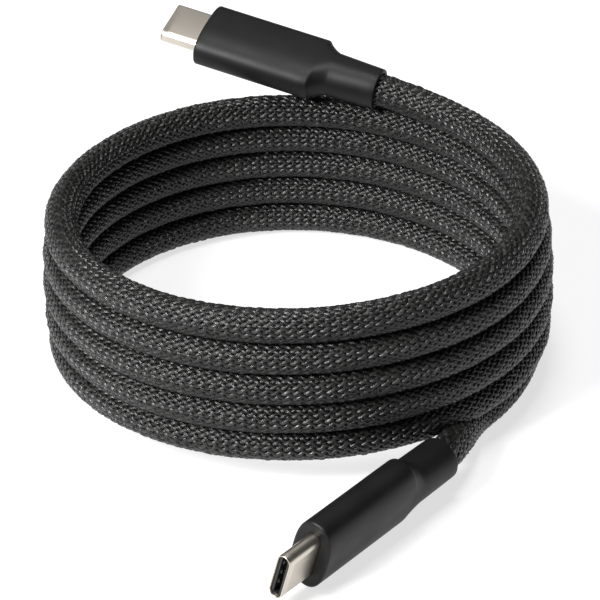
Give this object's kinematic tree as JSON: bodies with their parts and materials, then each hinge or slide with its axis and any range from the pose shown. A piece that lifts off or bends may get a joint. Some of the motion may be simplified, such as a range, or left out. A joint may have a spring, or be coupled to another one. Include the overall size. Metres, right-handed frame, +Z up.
{
  "type": "charging cable",
  "caption": "Braided charging cable wound in a standing coil, with a reversible oval plug and moulded grip on each end.",
  "frame": {"origin": "on the coil's axis, at the height of the coil's base", "axes": "+Z up along the coil's axis; -Y towards the side where the lower plug lies; +X to the right seen from there"},
  "size_m": [0.082, 0.1235, 0.0371],
  "materials": {
    "woven_sleeve": "woven nylon, charcoal with lighter strands",
    "nickel_shell": "nickel-plated, satin",
    "black_insulator": "moulded, matt",
    "gold_contacts": "gold-plated",
    "spring_steel": "bright spring steel",
    "circuit_card": "green lacquered laminate",
    "chip_black": "moulded",
    "wire_red": "wire insulation",
    "wire_black": "wire insulation",
    "wire_white": "wire insulation",
    "cord_jacket": "extruded jacket",
    "inner_resin": "cast resin",
    "can_steel": "tinned steel sheet",
    "shield_braid": "fine wire braid",
    "grip_rubber": "soft-touch moulding, satin"
  },
  "bodies": {
    "root": {"coil": "woven_sleeve", "cord_upper": "woven_sleeve", "cord_lower": "woven_sleeve", "shell_a": "nickel_shell", "front_insulator_a": "black_insulator", "rear_carrier_a": "black_insulator", "contacts_upper_a": "gold_contacts", "contacts_lower_a": "gold_contacts", "side_latches_a": "spring_steel", "shield_spring_upper_a": "spring_steel", "shield_spring_lower_a": "spring_steel", "card_a": "circuit_card", "marker_chip_a": "chip_black", "resistor_a": "chip_black", "jacket_end_a": "cord_jacket", "power_wire_a": "wire_red", "ground_wire_a": "wire_black", "signal_wires_a": "wire_white", "inner_mould_a": "inner_resin", "can_upper_a": "can_steel", "can_lower_a": "can_steel", "folded_braid_a": "shield_braid", "grip_a": "grip_rubber", "shell_b": "nickel_shell", "front_insulator_b": "black_insulator", "rear_carrier_b": "black_insulator", "contacts_upper_b": "gold_contacts", "contacts_lower_b": "gold_contacts", "side_latches_b": "spring_steel", "shield_spring_upper_b": "spring_steel", "shield_spring_lower_b": "spring_steel", "card_b": "circuit_card", "resistor_b": "chip_black", "jacket_end_b": "cord_jacket", "power_wire_b": "wire_red", "ground_wire_b": "wire_black", "signal_wires_b": "wire_white", "inner_mould_b": "inner_resin", "can_upper_b": "can_steel", "can_lower_b": "can_steel", "folded_braid_b": "shield_braid", "grip_b": "grip_rubber"}
  },
  "joints": []
}
